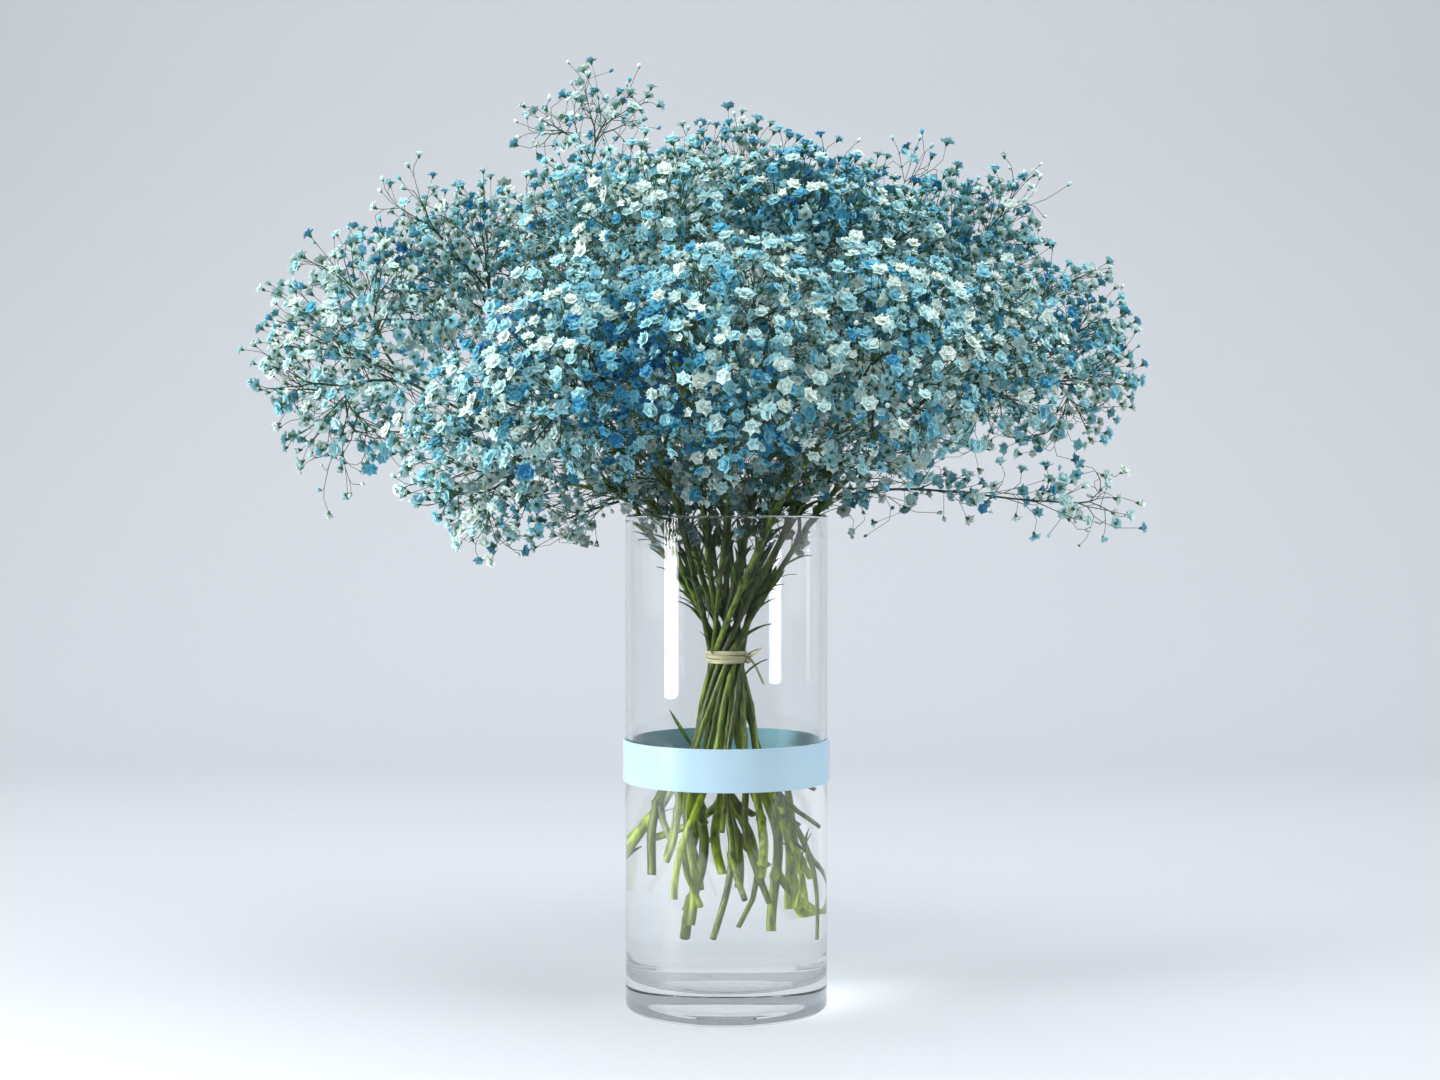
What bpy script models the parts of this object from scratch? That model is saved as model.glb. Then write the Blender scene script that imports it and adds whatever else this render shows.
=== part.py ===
"""Gypsophila in a vase: nineteen stems, tied by hand into a spiral, in a glass cylinder of water.

Metres, +Z up. The origin is the centre of the vase's underside, and the vase opens upward.
"""

import math

import bmesh
import bpy
from mathutils import Matrix, Vector
from mathutils.bvhtree import BVHTree

# ---------------------------------------------------------------- vase
VASE_DIAMETER = 0.125
VASE_HEIGHT = 0.305
WALL = 0.004
FLOOR_THICKNESS = 0.019
FLOOR_FILLET = 0.006  # inside, where the wall meets the floor
HEEL_ROUNDING = 0.0025  # outside, where the wall meets the underside
TURNED_STEPS = 48
ARC_STEPS = 3

# ---------------------------------------------------------------- band and water
BAND_BOTTOM = 0.1405
BAND_WIDTH = 0.026
BAND_THICKNESS = 0.0013
BAND_EDGE = 0.0003  # small chamfer on the band's edges
WATER_LEVEL = 0.144
GAP = 0.0003  # left between pieces that touch

# ---------------------------------------------------------------- bundle of stems
STEM_RADIUS = 0.002
STEM_TOP_RADIUS = 0.0013
STEM_SPACING = 0.005  # centre to centre where they are tied
STEM_RINGS = 2  # rings of stems round the middle one
STEM_CLEARANCE = 0.0012  # between an outer stem and the inside of the vase
FOOT_HEIGHT = 0.042  # where the outermost stems, if long enough, would come to the vase's side
END_SPREAD = 0.055  # the cut ends lie above that by as much as this
TIE_EASING = 0.030  # length over which a stem bends at the tie
STEM_STEP = 0.022  # between two points of a stem in the vase
GOLDEN_SHARE = 0.618  # spreads the cut ends evenly over their range
ARCH_STEPS = 6  # points of a stem from the rim to its panicle

# ---------------------------------------------------------------- tie
TIE_BELOW_RIM = 0.088
TIE_WRAPS = 3
STRAND_WIDTH = 0.0026
STRAND_THICKNESS = 0.0022

# ---------------------------------------------------------------- flower panicles
PANICLE_SIDES = 12
PANICLE_BELTS = 7
SEAT_DEPTH = 0.0015  # how much of a panicle is cut flat where its stem meets it

# azimuth in degrees, distance from the axis, height above the rim, and half sizes
# outward, sideways and up
OUTER_PANICLES = [
    (3, 0.195, 0.100, (0.062, 0.060, 0.060)),
    (30, 0.172, 0.160, (0.060, 0.060, 0.060)),
    (60, 0.161, 0.125, (0.060, 0.060, 0.062)),
    (90, 0.160, 0.095, (0.062, 0.062, 0.062)),
    (121, 0.164, 0.125, (0.060, 0.060, 0.062)),
    (157, 0.179, 0.150, (0.060, 0.060, 0.060)),
    (183, 0.225, 0.100, (0.062, 0.060, 0.075)),
    (214, 0.162, 0.035, (0.056, 0.056, 0.056)),
    (239, 0.164, 0.080, (0.060, 0.060, 0.060)),
    (270, 0.165, 0.090, (0.060, 0.060, 0.060)),
    (301, 0.164, 0.085, (0.060, 0.060, 0.060)),
    (327, 0.166, 0.090, (0.060, 0.060, 0.052)),
]
INNER_PANICLES = [
    (0, 0.085, 0.165, (0.052, 0.050, 0.050)),
    (60, 0.085, 0.175, (0.052, 0.050, 0.050)),
    (120, 0.085, 0.175, (0.052, 0.050, 0.050)),
    (180, 0.085, 0.170, (0.052, 0.050, 0.050)),
    (240, 0.085, 0.165, (0.052, 0.050, 0.050)),
    (300, 0.085, 0.168, (0.052, 0.050, 0.050)),
]
MIDDLE_PANICLE = (0, 0.0, 0.190, (0.050, 0.050, 0.050))
# sprigs that stand out of the cloud and lean on the panicle that they grow from
SPRIGS = [
    (166, 0.084, 0.243, (0.046, 0.036, 0.033)),
    (171, 0.197, 0.195, (0.025, 0.025, 0.025)),
    (10, 0.120, 0.210, (0.022, 0.022, 0.022)),
    (9, 0.187, 0.200, (0.020, 0.022, 0.020)),
    (181, 0.240, 0.028, (0.020, 0.020, 0.022)),
]
# sprigs on a side branch of their own: the number of the stem that bears it, how high above
# the rim it leaves that stem, how far it aims above its sprig, and the sprig itself
BRANCHED_SPRIGS = [
    (8, 0.012, 0.045, (-5, 0.226, 0.007, (0.024, 0.022, 0.024))),
    (14, 0.010, 0.004, (188, 0.108, -0.006, (0.012, 0.012, 0.010))),
]
BRANCH_RADIUS = 0.0010
BRANCH_STEPS = 6

# ---------------------------------------------------------------- worked out
OUTER_RADIUS = VASE_DIAMETER / 2
INNER_RADIUS = OUTER_RADIUS - WALL
BUNDLE_RADIUS = STEM_RINGS * STEM_SPACING
STEM_REACH = INNER_RADIUS - STEM_RADIUS - STEM_CLEARANCE  # farthest centre from the axis
TIE_HEIGHT = VASE_HEIGHT - TIE_BELOW_RIM


def ease(rise):
    """A ramp that starts softly at the tie: about 0 below it, about the rise above it."""
    return (rise + math.hypot(rise, TIE_EASING) - TIE_EASING) / 2


# the turn that brings an outer stem to the vase's side: forward at the rim, back at the foot
SIDE_TURN = math.sqrt((STEM_REACH / BUNDLE_RADIUS) ** 2 - 1)
FOOT_DROP = TIE_HEIGHT - FOOT_HEIGHT
EASE_RATIO = ease(-FOOT_DROP) / ease(TIE_BELOW_RIM)
LOWER_SPREAD = SIDE_TURN * (1 + EASE_RATIO) / (FOOT_DROP + TIE_BELOW_RIM * EASE_RATIO)
EXTRA_SPREAD = (SIDE_TURN - LOWER_SPREAD * TIE_BELOW_RIM) / ease(TIE_BELOW_RIM)


def turn_at(height):
    """How far the spiral has turned at a height: 0 at the tie, SIDE_TURN at the rim."""
    rise = height - TIE_HEIGHT
    return LOWER_SPREAD * rise + EXTRA_SPREAD * ease(rise)


def stem_at(foot, height):
    """Centre of a stem at a height. The whole bundle turns and widens as one figure, so
    stems that clear each other at the tie clear each other at every height."""
    turn = turn_at(height)
    return Vector((foot.x - turn * foot.y, foot.y + turn * foot.x, height))


def polar(azimuth, reach, height):
    angle = math.radians(azimuth)
    return Vector((reach * math.cos(angle), reach * math.sin(angle), height))


# ---------------------------------------------------------------- shared tools
def clear_scene():
    for item in list(bpy.data.objects):
        bpy.data.objects.remove(item, do_unlink=True)


def make_material(name, colour, roughness, transmission=0.0, ior=1.45):
    material = bpy.data.materials.new(name)
    material.use_nodes = True
    shader = material.node_tree.nodes["Principled BSDF"]
    shader.inputs["Base Color"].default_value = (*colour, 1.0)
    shader.inputs["Roughness"].default_value = roughness
    shader.inputs["Metallic"].default_value = 0.0
    shader.inputs["Transmission Weight"].default_value = transmission
    shader.inputs["IOR"].default_value = ior
    material.diffuse_color = (*colour, 1.0)
    return material


def add_object(name, data, material, parent=None):
    item = bpy.data.objects.new(name, data)
    bpy.context.scene.collection.objects.link(item)
    if material:
        data.materials.append(material)
    item.parent = parent
    return item


def mesh_from(bm, name, sharp_angle=40):
    mesh = bpy.data.meshes.new(name)
    bm.to_mesh(mesh)
    bm.free()
    mesh.shade_smooth()
    mesh.set_sharp_from_angle(angle=math.radians(sharp_angle))
    return mesh


def arc(centre_x, centre_z, radius, start, end, steps=ARC_STEPS):
    """Points (x, z) along an arc, with its angles in degrees."""
    points = []
    for step in range(steps + 1):
        angle = math.radians(start + (end - start) * step / steps)
        points.append((centre_x + radius * math.cos(angle), centre_z + radius * math.sin(angle)))
    return points


def turned(name, outline, closed, material, parent):
    """A piece turned about Z. The outline's outer side runs from top to bottom."""
    mesh = bpy.data.meshes.new(name)
    count = len(outline)
    edges = [(i, (i + 1) % count) for i in range(count if closed else count - 1)]
    mesh.from_pydata([(x, 0.0, z) for x, z in outline], edges, [])
    item = add_object(name, mesh, material, parent)
    screw = item.modifiers.new("Turn", "SCREW")
    screw.axis = "Z"
    screw.angle = math.tau
    screw.steps = TURNED_STEPS
    screw.render_steps = TURNED_STEPS
    screw.use_merge_vertices = True
    screw.merge_threshold = 1e-5
    screw.use_smooth_shade = True
    return item


def tube_curve(name, points, radii, thickness):
    """A round rod through the points, with its own radius at each of them."""
    curve = bpy.data.curves.new(name, "CURVE")
    curve.dimensions = "3D"
    curve.bevel_depth = thickness
    curve.bevel_resolution = 1
    curve.resolution_u = 1
    curve.render_resolution_u = 0
    curve.use_fill_caps = True
    spline = curve.splines.new("POLY")
    spline.points.add(len(points) - 1)
    for knot, point, radius in zip(spline.points, points, radii):
        knot.co = (*point, 1.0)
        knot.radius = radius / thickness
    return curve


def arch(start, leaving, end, arriving, steps):
    """Points of a smooth curve between two places, after the first, with given directions."""
    reach = (end - start).length
    points = []
    for step in range(1, steps + 1):
        t = step / steps
        points.append(
            start * (2 * t**3 - 3 * t**2 + 1)
            + leaving * reach * (t**3 - 2 * t**2 + t)
            + end * (3 * t**2 - 2 * t**3)
            + arriving * reach * (t**3 - t**2)
        )
    return points


# ---------------------------------------------------------------- vase, band, water, tie
def build_vase(material, parent):
    lip = WALL / 2
    outline = [(0.0, FLOOR_THICKNESS)]
    outline += arc(INNER_RADIUS - FLOOR_FILLET, FLOOR_THICKNESS + FLOOR_FILLET, FLOOR_FILLET, -90, 0)
    outline += arc(OUTER_RADIUS - lip, VASE_HEIGHT - lip, lip, 180, 0, 2 * ARC_STEPS)
    outline += arc(OUTER_RADIUS - HEEL_ROUNDING, HEEL_ROUNDING, HEEL_ROUNDING, 0, -90)
    outline.append((0.0, 0.0))
    return turned("vase", outline, False, material, parent)


def build_band(material, parent):
    inside = OUTER_RADIUS + GAP
    outside = inside + BAND_THICKNESS
    top = BAND_BOTTOM + BAND_WIDTH
    outline = [
        (inside + BAND_EDGE, top),
        (outside - BAND_EDGE, top),
        (outside, top - BAND_EDGE),
        (outside, BAND_BOTTOM + BAND_EDGE),
        (outside - BAND_EDGE, BAND_BOTTOM),
        (inside + BAND_EDGE, BAND_BOTTOM),
        (inside, BAND_BOTTOM + BAND_EDGE),
        (inside, top - BAND_EDGE),
    ]
    return turned("colour_band", outline, True, material, parent)


def build_water(stems, material, parent):
    side = INNER_RADIUS - GAP
    bottom = FLOOR_THICKNESS + GAP
    outline = [(0.0, WATER_LEVEL), (side, WATER_LEVEL)]
    outline += arc(side - FLOOR_FILLET, bottom + FLOOR_FILLET, FLOOR_FILLET, 0, -90)
    outline.append((0.0, bottom))
    water = turned("water", outline, False, material, parent)
    cut = water.modifiers.new("Room for the stems", "BOOLEAN")
    cut.operation = "DIFFERENCE"
    cut.solver = "EXACT"
    cut.object = build_stem_cutter(stems, parent)
    return water


def build_stem_cutter(stems, parent):
    """Rods a little fatter and longer than the stems' lower ends, as one hidden cutter."""
    bm = bmesh.new()
    for stem in stems:
        points = stem["points"]
        below = sum(point.z < WATER_LEVEL for point in points)
        start = points[0] - (points[1] - points[0]).normalized() * GAP
        route = [start] + points[1 : below + 2]
        curve = tube_curve("rod", route, [STEM_RADIUS + GAP] * len(route), STEM_RADIUS + GAP)
        rod = add_object("rod", curve, None)
        mesh = bpy.data.meshes.new_from_object(rod.evaluated_get(bpy.context.evaluated_depsgraph_get()))
        bm.from_mesh(mesh)
        bpy.data.objects.remove(rod, do_unlink=True)
    cutter = add_object("stem_cutter", mesh_from(bm, "stem_cutter"), None, parent)
    cutter.hide_render = True
    cutter.display_type = "WIRE"
    return cutter


def build_tie(material, parent):
    """Strands wound round the bundle, one above another."""
    half = TIE_WRAPS * STRAND_WIDTH / 2
    top, bottom = TIE_HEIGHT + half, TIE_HEIGHT - half
    widest = max(stem_at(Vector((BUNDLE_RADIUS, 0.0, 0.0)), z).xy.length for z in (top, bottom))
    inside = widest + STEM_RADIUS + STEM_CLEARANCE / 2
    outline = [(inside, top)]
    for wrap in range(TIE_WRAPS):
        middle = top - STRAND_WIDTH * (wrap + 0.5)
        for angle in (50, 0, -50):
            out = math.cos(math.radians(angle)) * STRAND_THICKNESS
            up = math.sin(math.radians(angle)) * STRAND_WIDTH / 2
            outline.append((inside + out, middle + up))
    outline.append((inside, bottom))
    return turned("tie", outline, True, material, parent)


# ---------------------------------------------------------------- panicles
def panicle_shape(entry):
    azimuth, reach, rise, half_sizes = entry
    return {
        "azimuth": math.radians(azimuth),
        "centre": polar(azimuth, reach, VASE_HEIGHT + rise),
        "half_sizes": half_sizes,
        "size": sum(half_sizes) / 3,
    }


def slice_off(bm, point, normal):
    """Cuts away what lies beyond a plane and closes the cut with a flat face."""
    everything = bm.verts[:] + bm.edges[:] + bm.faces[:]
    bmesh.ops.bisect_plane(
        bm, geom=everything, dist=1e-6, plane_co=point, plane_no=normal, clear_outer=True
    )
    open_edges = [edge for edge in bm.edges if edge.is_boundary]
    if open_edges:
        bmesh.ops.holes_fill(bm, edges=open_edges, sides=0)


def panicle_body(shape, neighbours):
    """A rounded lump with a flat face wherever it presses against a neighbour."""
    bm = bmesh.new()
    bmesh.ops.create_uvsphere(bm, u_segments=PANICLE_SIDES, v_segments=PANICLE_BELTS, radius=1.0)
    place = Matrix.Translation(shape["centre"]) @ Matrix.Rotation(shape["azimuth"], 4, "Z")
    bmesh.ops.transform(bm, matrix=place @ Matrix.Diagonal((*shape["half_sizes"], 1.0)), verts=bm.verts)
    for other in neighbours:
        apart = other["centre"] - shape["centre"]
        distance = apart.length
        share = (distance**2 + shape["size"] ** 2 - other["size"] ** 2) / (2 * distance)
        direction = apart / distance
        slice_off(bm, shape["centre"] + direction * (share - GAP / 2), direction)
    return bm


def cut_seat(bm, shape, origin):
    """Cuts a flat seat in the lump, facing a place outside it. Returns the seat's middle
    and the direction in which a stem arrives there."""
    toward = (shape["centre"] - origin).normalized()
    hit = BVHTree.FromBMesh(bm).ray_cast(origin, toward)[0]
    seat = hit + toward * SEAT_DEPTH
    slice_off(bm, seat, -toward)
    return seat, toward


def finish_panicle(bm, name, material, parent):
    bmesh.ops.remove_doubles(bm, verts=bm.verts, dist=GAP / 4)
    bmesh.ops.recalc_face_normals(bm, faces=bm.faces)
    return add_object(name, mesh_from(bm, name), material, parent)


# ---------------------------------------------------------------- stems
def hexagon_places():
    """Places of the stems where they are tied, ring by ring, each ring from azimuth 0 on."""
    places = []
    for row in range(-STEM_RINGS, STEM_RINGS + 1):
        for column in range(-STEM_RINGS, STEM_RINGS + 1):
            if abs(row + column) <= STEM_RINGS:
                x = STEM_SPACING * (column + row / 2)
                y = STEM_SPACING * row * math.sqrt(3) / 2
                ring = max(abs(row), abs(column), abs(row + column))
                angle = math.degrees(math.atan2(y, x)) % 360
                places.append((ring, round(angle) % 360, Vector((x, y, 0.0))))
    places.sort(key=lambda place: place[:2])
    return [place[2] for place in places]


def stem_route(foot, number, seat, arriving):
    """Points of a stem from its cut end, through the tie and out over the rim to its seat."""
    low = FOOT_HEIGHT + END_SPREAD * (number * GOLDEN_SHARE % 1)
    count = round((VASE_HEIGHT - low) / STEM_STEP)
    points = [stem_at(foot, low + (VASE_HEIGHT - low) * i / count) for i in range(count + 1)]
    leaving = (points[-1] - stem_at(foot, VASE_HEIGHT - 0.001)).normalized()
    return points + arch(points[-1], leaving, seat - arriving * GAP, arriving, ARCH_STEPS)


def stem_radii(points):
    """Full thickness up to the rim, then thinner toward the panicle."""
    top = points[-1].z
    radii = []
    for point in points:
        above = max(0.0, (point.z - VASE_HEIGHT) / max(top - VASE_HEIGHT, STEM_STEP))
        radii.append(STEM_RADIUS + (STEM_TOP_RADIUS - STEM_RADIUS) * min(above, 1.0))
    return radii


def place_on_stem(points, height):
    """Centre and direction of a stem at a height above the vase."""
    index = next(i for i, point in enumerate(points) if point.z > height)
    low, high = points[index - 1], points[index]
    return low.lerp(high, (height - low.z) / (high.z - low.z)), (high - low).normalized()


def branch_route(origin, along, aim, seat, arriving):
    """Points of a side branch from the surface of its stem to its sprig's seat."""
    leaving = (seat - origin + Vector((0.0, 0.0, aim))).normalized()
    sideways = (leaving - along * leaving.dot(along)).normalized()
    start = origin + sideways * (STEM_RADIUS + GAP + BRANCH_RADIUS)
    end = seat - arriving * GAP
    return [start] + arch(start, leaving, end, arriving, BRANCH_STEPS)


# ---------------------------------------------------------------- assembly
def main():
    clear_scene()
    glass = make_material("glass", (0.93, 0.97, 0.98), 0.02, 1.0, 1.52)
    blue = make_material("light blue", (0.53, 0.76, 0.87), 0.45)
    clear = make_material("water", (0.97, 0.99, 0.99), 0.0, 1.0, 1.33)
    raffia = make_material("raffia", (0.55, 0.50, 0.30), 0.75)
    green = make_material("stem green", (0.12, 0.20, 0.04), 0.55)
    blossom = make_material("blossom", (0.28, 0.52, 0.62), 0.85)

    root = bpy.data.objects.new("gypsophila_in_a_vase", None)
    bpy.context.scene.collection.objects.link(root)

    main_entries = [MIDDLE_PANICLE] + INNER_PANICLES + OUTER_PANICLES
    branched = [entry for _, _, _, entry in BRANCHED_SPRIGS]
    shapes = [panicle_shape(entry) for entry in main_entries + SPRIGS + branched]
    bodies = [panicle_body(s, [o for o in shapes if o is not s]) for s in shapes]

    stems = []
    start_turn = -math.atan(SIDE_TURN)  # so that at the rim the outer stems face their panicles
    for number, place in enumerate(hexagon_places(), 1):
        foot = Matrix.Rotation(start_turn, 3, "Z") @ place
        seat, arriving = cut_seat(bodies[number - 1], shapes[number - 1], stem_at(foot, VASE_HEIGHT))
        points = stem_route(foot, number, seat, arriving)
        stems.append({"name": f"stem_{number:02d}", "points": points})

    first_branched = len(main_entries) + len(SPRIGS)
    for number, (bearer, rise, aim, _) in enumerate(BRANCHED_SPRIGS, 1):
        index = first_branched + number - 1
        origin, along = place_on_stem(stems[bearer - 1]["points"], VASE_HEIGHT + rise)
        seat, arriving = cut_seat(bodies[index], shapes[index], origin)
        points = branch_route(origin, along, aim, seat, arriving)
        curve = tube_curve(f"side_branch_{number}", points, [BRANCH_RADIUS] * len(points), BRANCH_RADIUS)
        add_object(f"side_branch_{number}", curve, green, root)

    build_vase(glass, root)
    build_band(blue, root)
    build_water(stems, clear, root)
    build_tie(raffia, root)
    for stem in stems:
        curve = tube_curve(stem["name"], stem["points"], stem_radii(stem["points"]), STEM_RADIUS)
        add_object(stem["name"], curve, green, root)
    for index, bm in enumerate(bodies):
        if index < len(main_entries):
            name = f"panicle_{index + 1:02d}"
        else:
            name = f"sprig_{index + 1 - len(main_entries):02d}"
        finish_panicle(bm, name, blossom, root)


main()
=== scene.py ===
# %% [markdown]
# # Gypsophila in a vase
# A florist's bunch of blue-dyed gypsophila, tied so that its stems spiral, in a glass cylinder of water.
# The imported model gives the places: the vase, its band, the water, the tie, each stem, and one plain
# lump for each flowering top. This script gives them their looks. The glass, band and water are turned
# pieces, so they are modelled by hand from cylinders. The plants grow by a rule, so they are made by one.

import math

import bmesh
import bpy
import numpy as np
from mathutils import Matrix, Vector


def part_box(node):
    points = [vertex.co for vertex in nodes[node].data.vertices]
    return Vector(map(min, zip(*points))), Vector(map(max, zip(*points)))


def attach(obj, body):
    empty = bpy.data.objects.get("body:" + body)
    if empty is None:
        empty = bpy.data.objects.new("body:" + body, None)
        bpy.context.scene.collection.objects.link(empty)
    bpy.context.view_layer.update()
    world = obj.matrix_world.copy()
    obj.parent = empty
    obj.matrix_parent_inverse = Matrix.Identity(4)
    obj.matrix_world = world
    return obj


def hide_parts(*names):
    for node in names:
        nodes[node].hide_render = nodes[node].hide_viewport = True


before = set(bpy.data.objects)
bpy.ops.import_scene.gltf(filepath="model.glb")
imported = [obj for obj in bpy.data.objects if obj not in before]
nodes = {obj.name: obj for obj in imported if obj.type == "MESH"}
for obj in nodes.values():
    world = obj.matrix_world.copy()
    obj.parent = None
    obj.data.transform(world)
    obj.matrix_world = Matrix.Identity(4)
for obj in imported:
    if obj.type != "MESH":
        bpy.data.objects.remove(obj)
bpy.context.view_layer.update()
print("CAD nodes:", len(nodes))

# %% [markdown]
# The sizes that every later step shares are read from the frame, never typed in again. The water is
# drawn 0.3 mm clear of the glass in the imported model, which is how the inside of the vase is found.

# %% Sizes read from the frame
SOLID_GAP = 0.0003
vase_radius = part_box("vase")[1].x
vase_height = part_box("vase")[1].z
inner_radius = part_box("water")[1].x + SOLID_GAP
floor_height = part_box("water")[0].z - SOLID_GAP
water_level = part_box("water")[1].z
band_low, band_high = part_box("colour_band")
tie_low, tie_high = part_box("tie")
tie_height = (tie_low.z + tie_high.z) / 2
ON_PLANE = 1e-4  # how near to a plane a point counts as on it
print("vase", round(vase_radius * 2000), "x", round(vase_height * 1000), "mm")


# %% [markdown]
# A few helpers keep the modelling cells short. Operators act on whatever is selected, so each piece
# starts from a clear selection, and its faces or edges are picked by a test on their place.

# %% Helpers for modelling
def clear_selection():
    if bpy.context.object and bpy.context.object.mode != "OBJECT":
        edit(False)
    bpy.ops.object.select_all(action="DESELECT")


def select(*pieces):
    """Selects these pieces alone, the first of them active."""
    clear_selection()
    for piece in pieces:
        piece.select_set(True)
    bpy.context.view_layer.objects.active = pieces[0]


def primitive(name, add, **values):
    """A new piece from one of the operators that add a mesh, with its place applied."""
    clear_selection()
    add(**values)
    piece = bpy.context.object
    piece.name = name
    bpy.ops.object.transform_apply(location=True)
    return piece


def edit(on):
    bpy.ops.object.mode_set(mode="EDIT" if on else "OBJECT")


def move(*way):
    """Moves what is selected in the edited piece."""
    bpy.ops.transform.translate(value=way)


def pick(piece, kind, test):
    """Selects the vertices, edges or faces of the edited piece whose middle passes the test."""
    bpy.ops.mesh.select_mode(type={"verts": "VERT", "edges": "EDGE", "faces": "FACE"}[kind])
    bpy.ops.mesh.select_all(action="DESELECT")
    mesh = bmesh.from_edit_mesh(piece.data)
    for part in getattr(mesh, kind):
        if kind == "verts":
            part.select = test(part.co)
        elif kind == "edges":
            part.select = all(test(v.co) for v in part.verts)
        else:
            part.select = test(part.calc_center_median())
    mesh.select_flush_mode()
    bmesh.update_edit_mesh(piece.data)


def finish(piece, body_nodes, material, smooth_angle, true_walls=False):
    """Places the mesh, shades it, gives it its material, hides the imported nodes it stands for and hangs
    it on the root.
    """
    select(piece)
    bpy.ops.object.transform_apply(location=True, rotation=True, scale=True)
    bpy.ops.object.shade_smooth_by_angle(angle=math.radians(smooth_angle))
    if true_walls:
        weigh = piece.modifiers.new("Weighted normals", "WEIGHTED_NORMAL")
        weigh.weight = 100
        weigh.keep_sharp = True
        bpy.ops.object.modifier_apply(modifier=weigh.name)
    if material:
        piece.data.materials.clear()
        piece.data.materials.append(material)
    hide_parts(*body_nodes)
    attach(piece, "root")
    print(piece.name, len(piece.data.polygons), "faces")


# %% [markdown]
# Materials share one node group, so that all that grew has the same kind of mottling: a soft noise,
# drawn out along the stem, moves the colour between a dark and a light tone and gives a little relief.

# %% Helpers for nodes
def add_node(tree, kind, **values):
    """A new shader node, with the values of some of its inputs."""
    node = tree.nodes.new("ShaderNode" + kind)
    for title, value in values.items():
        node.inputs[title.replace("_", " ")].default_value = value
    return node


def wire(tree, *wires):
    """Links, each given as a node, its output, another node and its input."""
    for giver, output, taker, socket in wires:
        tree.links.new(giver.outputs[output], taker.inputs[socket])


def two_tone(tree, low, high):
    """A ramp whose two ends stand at the given places."""
    ramp = add_node(tree, "ValToRGB")
    ramp.color_ramp.elements[0].position = low
    ramp.color_ramp.elements[1].position = high
    return ramp


def colour_mix(tree, **values):
    mix = tree.nodes.new("ShaderNodeMix")
    mix.data_type = "RGBA"
    for title, value in values.items():
        mix.inputs[title].default_value = value
    return mix


# %% Node group: grown colour
GROWN_INPUTS = [
    ("Dark", "NodeSocketColor", (0.02, 0.05, 0.01, 1)),
    ("Light", "NodeSocketColor", (0.1, 0.2, 0.03, 1)),
    ("Across", "NodeSocketFloat", 900.0),
    ("Along", "NodeSocketFloat", 60.0),
]


def build_grown_group():
    group = bpy.data.node_groups.new("grown colour", "ShaderNodeTree")
    for title, kind, value in GROWN_INPUTS:
        group.interface.new_socket(title, in_out="INPUT", socket_type=kind).default_value = value
    group.interface.new_socket("Color", in_out="OUTPUT", socket_type="NodeSocketColor")
    group.interface.new_socket("Height", in_out="OUTPUT", socket_type="NodeSocketFloat")
    inside, outside = group.nodes.new("NodeGroupInput"), group.nodes.new("NodeGroupOutput")
    place, size = add_node(group, "TexCoord"), add_node(group, "CombineXYZ")
    stretch = add_node(group, "VectorMath")
    stretch.operation = "MULTIPLY"
    noise = add_node(group, "TexNoise", Scale=1.0, Detail=4.0)
    ramp = two_tone(group, 0.32, 0.68)
    mix = colour_mix(group)
    wire(
        group, (inside, "Across", size, "X"), (inside, "Across", size, "Y"), (inside, "Along", size, "Z"),
        (place, "Object", stretch, 0), (size, "Vector", stretch, 1), (stretch, "Vector", noise, "Vector"),
        (noise, "Fac", ramp, "Fac"), (ramp, "Color", mix, "Factor"), (inside, "Dark", mix, "A"),
        (inside, "Light", mix, "B"), (mix, "Result", outside, "Color"), (noise, "Fac", outside, "Height"),
    )
    return group


grown_group = build_grown_group()


# %% Helper: start a material
def new_material(name, roughness, **values):
    material = bpy.data.materials.new(name)
    material.use_nodes = True
    shader = material.node_tree.nodes["Principled BSDF"]
    shader.inputs["Roughness"].default_value = roughness
    for title, value in values.items():
        shader.inputs[title.replace("_", " ")].default_value = value
    return material, shader


def add_bump(material, shader, node, output, distance):
    """Relief from a node's output, in metres."""
    bump = add_node(material.node_tree, "Bump", Distance=distance, Strength=1.0)
    wire(material.node_tree, (node, output, bump, "Height"), (bump, "Normal", shader, "Normal"))


def grown_tone(tree, dark, light, across, along):
    """The node group, with its colours and how fine its pattern is across and along the stem."""
    group = tree.nodes.new("ShaderNodeGroup")
    group.node_tree = grown_group
    for title, value in zip(("Dark", "Light", "Across", "Along"), ((*dark, 1), (*light, 1), across, along)):
        group.inputs[title].default_value = value
    return group


def grown_material(name, dark, light, pattern, roughness, relief):
    material, shader = new_material(name, roughness)
    group = grown_tone(material.node_tree, dark, light, *pattern)
    wire(material.node_tree, (group, "Color", shader, "Base Color"))
    add_bump(material, shader, group, "Height", relief)
    return material


# %% [markdown]
# ## The vase
# The vase is a straight cylinder of clear glass with a heavy foot. It starts as a cylinder. Its top face
# is inset by the wall and pushed down to the floor, and the rim, the heel and the inner corner are
# bevelled round, as fire polishing leaves them. The underside is slightly hollow, so that the vase
# stands on a ring and doesn't rock.

# %% Glass
ROUND_SIDES = 128
LIP_SEGMENTS = 5
RIM_ROUNDING = 0.46  # of the wall
FLOOR_FILLET = 0.006
HEEL_ROUNDING = 0.0025
# under the foot: how far in each ring of the hollow lies from the one before, and how far up
FOOT_HOLLOW = [(0.028, 0.0), (0.002, 0.0009), (0.009, 0.0009), (0.010, 0.0004)]


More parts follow.
